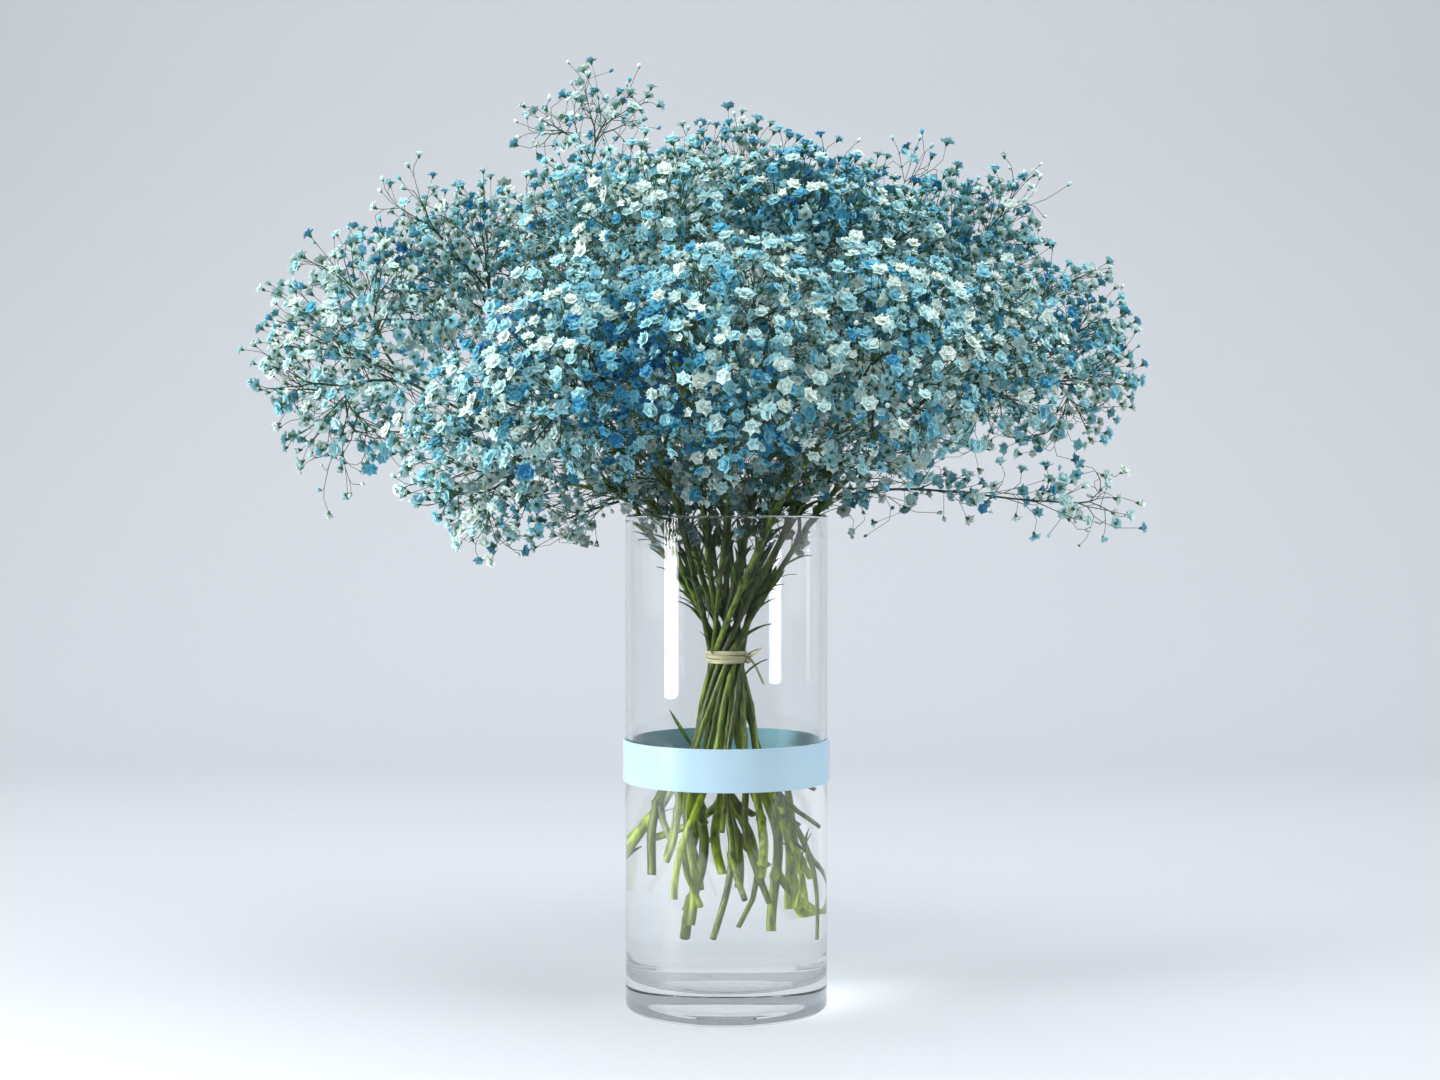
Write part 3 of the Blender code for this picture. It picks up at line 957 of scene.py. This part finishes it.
def blossom_colours(places, chance):
    """A colour for each blossom, from the spray at its place and from chance, with painted shade deep in
    the bunch.
    """
    amount = np.clip(dye_at(places) + chance.normal(0, DYE_CHANCE, len(places)), 0, 1)
    colour = np.stack([np.interp(amount, DYE_STEPS, DYE_COLOURS[:, c]) for c in range(3)], 1)
    from_heart = np.linalg.norm(places - CLOUD_HEART, axis=1)
    # painted shade: blossoms near the heart of the bunch are darkened
    painted_shade = INNER_PAINTED_SHADE + (1 - INNER_PAINTED_SHADE) * np.clip((from_heart - INNER_REACH) / INNER_FADE, 0, 1)
    return colour * painted_shade[:, None] * chance.uniform(0.86, 1.05, (len(places), 1))


# %% Petal material
PETAL_CRINKLE = 1500


def petal_material():
    material, shader = new_material("petals", 0.72)
    tree = material.node_tree
    # the petals' colour per point: dyed colour with painted shade in it
    dye_and_painted_shade, place = add_node(tree, "Attribute"), add_node(tree, "TexCoord")
    dye_and_painted_shade.attribute_name = "dye_and_painted_shade"
    crinkle = add_node(tree, "TexNoise", Scale=PETAL_CRINKLE)
    wire(tree, (dye_and_painted_shade, "Color", shader, "Base Color"), (place, "Object", crinkle, "Vector"))
    add_bump(material, shader, crinkle, "Fac", 0.0002)
    return material


petals = petal_material()

# %% [markdown]
# ## The flowering tops
# A gypsophila top forks again and again, and every last twig ends in a blossom. It is grown backwards:
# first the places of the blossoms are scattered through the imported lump, closer together toward the
# outside of the cloud, then a stem divides them into groups, forks toward each group, and goes on until
# each twig has one blossom. A twig is as thick as the number of blossoms it carries asks for.

# %% Scatter the blossoms in a lump
def lump_planes(node):
    """The outward normals and offsets of a convex packed lump's faces."""
    mesh = nodes[node].data
    corners = np.array([v.co for v in mesh.vertices])
    faces = np.array([list(f.vertices) for f in mesh.polygons])
    a, b, c = (corners[faces[:, k]] for k in range(3))
    normals = np.cross(b - a, c - a)
    size = np.linalg.norm(normals, axis=1)
    keep = size > 1e-9
    normals = normals[keep] / size[keep, None]
    return normals, (normals * a[keep]).sum(1), corners


EVEN = 0.42  # share of blossoms that don't care how far out they are
FRAY = 0.0055  # how far some stand out of the lump
CLEAR = 0.006  # how far they keep from the glass


def scatter(node, per_litre, spacing, chance):
    """Places for blossoms in a lump, more of them toward the outside of the cloud.

    A few stand out of the lump, by a chance distance, so that its edge is frayed and neighbours blend.
    """
    normals, offsets, corners = lump_planes(node)
    low, high = corners.min(0), corners.max(0)
    middle = corners.mean(0)
    outward = unit(middle - CLOUD_HEART)
    tries = chance.uniform(low - 3 * FRAY, high + 3 * FRAY, (40000, 3))
    outside = (tries @ normals.T - offsets).max(1)
    volume = (outside < 0).mean() * np.prod(high - low + 6 * FRAY) * 1000
    reach_out = np.minimum(chance.exponential(FRAY, len(tries)), 2.6 * FRAY)
    tries = tries[outside < reach_out - 0.0015]
    reach = ((tries - middle) @ outward) / (np.linalg.norm(high - low) / 3.4)
    likely = EVEN + (1 - EVEN) * np.clip((reach + 0.75) / 1.3, 0, 1) ** 1.3
    tries = tries[chance.random(len(tries)) < likely]
    tries = tries[clear_of_wall(tries, CLEAR)]
    wanted = int(volume * per_litre)
    return spaced_out(tries, spacing, wanted)


def spaced_out(tries, spacing, wanted):
    """The first of the tries that keep their distance from those already chosen."""
    chosen = np.zeros((wanted, 3))
    count = 0
    for place in tries:
        if count == wanted:
            break
        if not count or np.min(((chosen[:count] - place) ** 2).sum(1)) > spacing**2:
            chosen[count] = place
            count += 1
    return chosen[:count]


# %% Grow twigs toward the blossoms
PEDICEL_RADIUS = 0.00018
TWIG_GROWTH = 0.37
MANY = 5  # a twig with more blossoms than this forks sooner
SHORT_STEP = 0.003


def twig_radius(carried, limit):
    return min(PEDICEL_RADIUS * carried**TWIG_GROWTH, limit)


def divided(order, chance):
    """Two or three groups of blossoms that lie side by side, the biggest last."""
    cuts = [round(len(order) * chance.uniform(0.36, 0.64))]
    if len(order) > 4 and chance.random() < 0.4:
        cuts = [round(len(order) * 0.3), round(len(order) * 0.68)]
    return sorted(np.split(order, [min(max(c, 1), len(order) - 1) for c in cuts]), key=len)


def grow(start, direction, places, limit, chance):
    """Twigs from a start to every place. Returns rods, and each blossom's direction."""
    rods, headings = [], np.zeros((len(places), 3))
    todo = [(start, direction, np.arange(len(places)), None)]
    while todo:
        here, heading, group, rod = todo.pop()
        if rod is None:
            rod = ([here], [twig_radius(len(group), limit)])
            rods.append(rod)
        goal = places[group].mean(0)
        reach = np.linalg.norm(goal - here)
        aim = (goal - here) / max(reach, 1e-6)
        if len(group) == 1:
            bend = here + (0.55 * heading + 0.45 * aim) * reach * 0.45
            rod[0].extend([bend, goal])
            rod[1].extend([PEDICEL_RADIUS, PEDICEL_RADIUS * 0.9])
            last = goal - bend
            headings[group[0]] = last / max(np.linalg.norm(last), 1e-6)
            continue
        way = unit(0.42 * heading + 0.58 * aim)
        share = chance.uniform(0.30, 0.46) if len(group) > MANY else chance.uniform(0.45, 0.62)
        fork = here + way * max(reach * share, SHORT_STEP)
        rod[0].append(fork)
        rod[1].append(twig_radius(len(group), limit) * 0.93)
        spread = places[group] - goal
        spread = spread - np.outer(spread @ way, way)
        axis = np.linalg.svd(spread, full_matrices=False)[2][0] if len(group) > 2 else spread[0]
        groups = divided(group[np.argsort(spread @ axis)], chance)
        todo.append((fork, way, groups[-1], rod))
        for other in groups[:-1]:
            if len(other):
                todo.append((fork, way, other, None))
    return rods, headings


# %% Stamp the blossoms into one mesh
HALF_OPEN = 0.14
BUD_SIZE = 0.66
UNEVEN_SIZES = (0.72, 1.08)
RUFFLE = 0.16
# painted shade: the depth of each blossom is painted darker than its petals' edges
DEPTH_PAINTED_SHADE = 0.76  # how bright the depth of a blossom is


def blossom_mesh(name, places, headings, buds, chance):
    """All blossoms of a top as one mesh, with their dyed colour and painted shade as a colour per point."""
    stages = chance.choice(3, len(places), p=[1 - HALF_OPEN - buds, HALF_OPEN, buds])
    colours = blossom_colours(places, chance)
    all_points, all_colours, all_faces, start = [], [], [], 0
    for k, place in enumerate(places):
        points, faces, tones = STAGES[stages[k]]
        size = BLOSSOM_RADIUS * (BUD_SIZE if stages[k] == 2 else 1.0) * chance.uniform(*UNEVEN_SIZES)
        up = headings[k] + np.array([0, 0, 0.25]) + (place - CLOUD_HEART) * 2.0
        turn = toward(up, chance.uniform(0, math.tau)) * size
        jitter = 1 + chance.uniform(-RUFFLE, RUFFLE, (len(points), 1)) * (tones > 0.4)[:, None]
        all_points.append((points * jitter) @ turn.T + place)
        # painted shade: points deep in a blossom are darkened, the cup keeps its colour
        shade = np.where(tones < 0, 1.0, DEPTH_PAINTED_SHADE + (1 - DEPTH_PAINTED_SHADE) * tones)[:, None]
        tint = np.where((tones < 0)[:, None], CUP_COLOUR, colours[k])
        all_colours.append(tint * shade)
        all_faces += [[i + start for i in f] for f in faces]
        start += len(points)
    mesh = bpy.data.meshes.new(name)
    mesh.from_pydata(np.vstack(all_points).tolist(), [], all_faces)
    # the colour per point holds the dyed colour and the painted shade
    layer = mesh.color_attributes.new("dye_and_painted_shade", "FLOAT_COLOR", "POINT")
    rgba = np.hstack([np.vstack(all_colours), np.ones((start, 1))])
    layer.data.foreach_set("color", rgba.ravel())
    return in_scene(name, mesh)


# %% Grow every top
def seat_of(node):
    """Where a rod enters its lump, and its direction there."""
    line, radius = stem_lines[node]
    return line[-1], unit(line[-1] - line[-3]), radius[-1]


def show_plant(name, node, rods, places, headings, buds, chance):
    """Makes a plant's two pieces, its twigs and its blossoms."""
    finish(rods_mesh(name + "twigs", rods, 0), [node], twig_green, 60)
    blossoms = blossom_mesh(name + "blossoms", places, headings, buds, chance)
    finish(blossoms, [node], petals, 80)
    return len(places)


def grow_top(node, start, direction, limit, per_litre, spacing, buds, seed):
    chance = np.random.default_rng(seed)
    places = scatter(node, per_litre, spacing, chance)
    rods, headings = grow(start, direction, places, limit, chance)
    return show_plant(node + "_", node, rods, places, headings, buds, chance)


# blossoms to the litre: the tops at the two ends of the bunch are airier than the rest
AIRY_TOPS = {8: 600, 13: 700, 14: 560, 15: 720, 19: 700, 9: 760}
CLOSE_TOP = 950
TOP_SPACING = 0.0049
TOP_BUDS = 0.12
total = 0
for number in range(1, len(stem_names) + 1):
    dense = AIRY_TOPS.get(number, CLOSE_TOP)
    seat = seat_of(f"stem_{number:02d}")
    total += grow_top(f"panicle_{number:02d}", *seat, dense, TOP_SPACING, TOP_BUDS, 300 + number)
print("blossoms in the tops:", total)

# %% [markdown]
# ## Side twigs
# Below its top a stem bears smaller side twigs, which fill the underside of the bunch and reach down
# to the mouth of the vase. They are grown by the same rule from points along the stem. Those that start
# below the rim stay short, bear fewer blossoms and keep clear of the glass.

# %% Grow side twigs
SIDE_SPACING = 0.0052
SIDE_BUDS = 0.35
SIDE_SPREAD = 0.34  # of a side twig's length
LOW_DOWN = vase_height - 0.02
LOW_FEWER, LOW_SHORTER = 0.6, 0.5


def side_way(line, k, chance):
    """A direction forward and sideways from a point of the line, more outward than inward."""
    ahead = unit(line[k + 1] - line[k])
    side = unit(np.cross(ahead, chance.normal(size=3)))
    outward = line[k] * (1, 1, 0) / max(np.linalg.norm(line[k][:2]), 1e-3)
    return unit(0.75 * ahead + 0.65 * (side + 0.5 * outward))


def side_places(here, way, sizes, blossoms, chance):
    low_down = here[2] < LOW_DOWN
    count = int(chance.integers(*blossoms) * (LOW_FEWER if low_down else 1))
    length = chance.uniform(*sizes) * (LOW_SHORTER if low_down else 1)
    tries = here + way * length + chance.normal(0, SIDE_SPREAD * length, (count * 3, 3))
    tries = tries[clear_of_wall(tries, CLEAR)]
    if here[2] < vase_height:
        beyond = np.linalg.norm(tries[:, :2], axis=1) > inner_radius - 0.008
        tries = tries[~beyond | (tries[:, 2] > vase_height + 0.010)]
    return spaced_out(tries, SIDE_SPACING, count)


def side_growth(name, line, starts, sizes, blossoms, limit, chance):
    """Small twigs with blossoms from chosen points of a line."""
    rods, all_places, all_headings = [], [], []
    for k in starts:
        way = side_way(line, k, chance)
        places = side_places(line[k], way, sizes, blossoms, chance)
        if len(places) < 2:
            continue
        twig, headings = grow(line[k], way, places, limit, chance)
        rods += twig
        all_places.append(places)
        all_headings.append(headings)
    if not rods:
        return 0
    places, headings = np.vstack(all_places), np.vstack(all_headings)
    return show_plant(name + "_side_", name, rods, places, headings, SIDE_BUDS, chance)


for number, name in enumerate(stem_names):
    chance = np.random.default_rng(700 + number)
    line = stem_lines[name][0]
    able = np.flatnonzero(line[:-6, 2] > vase_height - 0.026)
    starts = chance.choice(able, min(len(able), 12), replace=False)
    total += side_growth(name, line, starts, (0.022, 0.044), (5, 12), 0.0008, chance)
print("blossoms with the side twigs:", total)

# %% [markdown]
# ## The sprigs
# Smaller sprigs stand out of the cloud. Those on a side branch grow from its end. The others lean on the
# top that they belong to, so they start part of the way from its middle.

# %% Grow the side branches
BRANCH_TAPER = 0.6
branch_ends = {}
for name in sorted(n for n in nodes if n.startswith("side_branch")):
    middles, radii = rod_line(name)
    line = smooth_line(middles, LINE_STEP)
    start = min((0, -1), key=lambda k: np.linalg.norm(line[k][:2]))
    line = line if start == 0 else line[::-1]
    thin = radii[0] * BRANCH_TAPER
    piece = rods_mesh(name + "_grown", [(line, np.linspace(radii[0], thin, len(line)))], 1)
    finish(piece, [name], twig_green, 60)
    branch_ends[name] = (line[-1], unit(line[-1] - line[-3]), thin)
    chance = np.random.default_rng(900 + len(line))
    starts = range(len(line) // 4, len(line) - 2, 3)
    total += side_growth(name, line, starts, (0.012, 0.034), (3, 10), 0.0006, chance)

# %% Grow every sprig
SPRIG_DENSITY = 520
SPRIG_SPACING = 0.0058
SPRIG_BUDS = 0.4
SPRIG_STALK = 0.0007
# sprig number: the side branch that bears it, or the panicle that it leans on
SPRIG_FROM = {1: 5, 2: 13, 3: 2, 4: 9, 5: 14, 6: "side_branch_1", 7: "side_branch_2"}
for number, bearer in SPRIG_FROM.items():
    node = f"sprig_{number:02d}"
    if bearer in branch_ends:
        seat = branch_ends[bearer]
    else:
        middle = np.array(sum(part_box(f"panicle_{bearer:02d}"), Vector())) / 2
        out = np.array(nodes[node].bound_box).mean(0) - middle
        seat = (middle + out * 0.45, unit(out), SPRIG_STALK)
    total += grow_top(node, *seat, SPRIG_DENSITY, SPRIG_SPACING, SPRIG_BUDS, 500 + number)
print("blossoms in all:", total)

# %% [markdown]
# ## Studio
# A pale sweep gives floor and background in one. A tall soft light stands at the left and draws the long
# highlights on the glass. Softer ones hang high at the right and above, and an even sky fills the
# shadows. A grey drape on the near side keeps the rest of the glass free of reflections, and the sweep
# stops a short way in front of the vase for the same reason.

# %% Floor
SWEEP_FRONT = -0.62
SWEEP_BACK = 2.1
SWEEP_WIDTH = 8
SWEEP_HEIGHT = 5
SWEEP_ROUNDING = 0.9


def build_sweep():
    sweep = primitive("studio_sweep", bpy.ops.mesh.primitive_plane_add, size=1)
    sweep.scale = (SWEEP_WIDTH, SWEEP_BACK - SWEEP_FRONT, 1)
    sweep.location.y = (SWEEP_BACK + SWEEP_FRONT) / 2
    bpy.ops.object.transform_apply(location=True, scale=True)
    edit(True)
    pick(sweep, "edges", lambda p: p.y > SWEEP_BACK - 0.1)
    bpy.ops.mesh.extrude_region_move(TRANSFORM_OT_translate={"value": (0, 0, SWEEP_HEIGHT)})
    pick(sweep, "edges", lambda p: p.y > SWEEP_BACK - 0.1 and p.z < 0.1)
    bpy.ops.mesh.bevel(offset=SWEEP_ROUNDING, segments=12)
    edit(False)
    bpy.ops.object.shade_smooth()
    material, shader = new_material("studio sweep", 0.6)
    shader.inputs["Base Color"].default_value = (0.62, 0.642, 0.675, 1)
    sweep.data.materials.append(material)


build_sweep()


# %% Lights
def soft_box(name, azimuth, distance, low, high, width, power, colour, aim=None):
    """A soft box that faces the vase at its own height, or at the height given as its aim.

    Azimuth 0 is the near side, and more is further to the right.
    """
    light = bpy.data.lights.new(name, "AREA")
    light.shape = "RECTANGLE"
    light.size = width
    light.size_y = high - low
    light.energy = power
    light.color = colour
    lamp = in_scene(name, light)
    angle = math.radians(azimuth)
    place = Vector((math.sin(angle) * distance, -math.cos(angle) * distance, (low + high) / 2))
    lamp.location = place
    lamp.rotation_euler = (Vector((0, 0, aim or place.z)) - place).to_track_quat("-Z", "Y").to_euler()


WHITE, COOL = (1.0, 1.0, 1.0), (0.97, 0.99, 1.0)
soft_box("left_box", -65, 1.5, 0.057, 1.5, 0.42, 28, WHITE)
soft_box("right_box", 62, 1.6, 1.0, 2.2, 0.9, 21, COOL)
soft_box("top_box", 0, 0.6, 1.6, 2.6, 1.6, 17, WHITE, aim=0.4)

# %% Sky with a grey drape
SKY_STRENGTH = 0.90
SKY_COLOUR = (0.94, 0.965, 1.0, 1)
DRAPE_COLOUR = (0.11, 0.115, 0.12, 1)
# where the drape begins and is full, as parts of a direction: toward the near side, and down from above
DRAPE_EDGES = (("Y", -0.15, -0.60), ("Z", 0.50, 0.20))
world = bpy.data.worlds.new("studio air")
world.use_nodes = True
air = world.node_tree
sky = air.nodes["Background"]
sky.inputs["Strength"].default_value = SKY_STRENGTH
way, parts = add_node(air, "TexCoord"), add_node(air, "SeparateXYZ")
drape, tone = add_node(air, "Math"), colour_mix(air, A=SKY_COLOUR, B=DRAPE_COLOUR)
drape.operation = "MULTIPLY"
wire(air, (way, "Generated", parts, "Vector"))
for socket, (axis, begins, full) in enumerate(DRAPE_EDGES):
    fade = add_node(air, "MapRange", From_Min=full, From_Max=begins, To_Min=1, To_Max=0)
    fade.interpolation_type = "SMOOTHSTEP"
    wire(air, (parts, axis, fade, "Value"), (fade, "Result", drape, socket))
wire(air, (drape, "Value", tone, "Factor"), (tone, "Result", sky, "Color"))
bpy.context.scene.world = world
bpy.context.scene.view_settings.view_transform = "Standard"

# %% [markdown]
# The camera stands a little above the rim's height and far enough away for the cylinder to keep its
# straight sides, and looks very slightly down.

# %% Camera
LENS = 58.4
SENSOR = 36
CAMERA_PLACE = (-0.004, -1.444, 0.329)
CAMERA_DROP = 1.586  # degrees below level
camera_data = bpy.data.cameras.new("camera")
camera_data.lens = LENS
camera_data.sensor_width = SENSOR
camera = in_scene("camera", camera_data)
camera.location = CAMERA_PLACE
camera.rotation_euler = (math.radians(90 - CAMERA_DROP), 0, 0)
bpy.context.scene.camera = camera
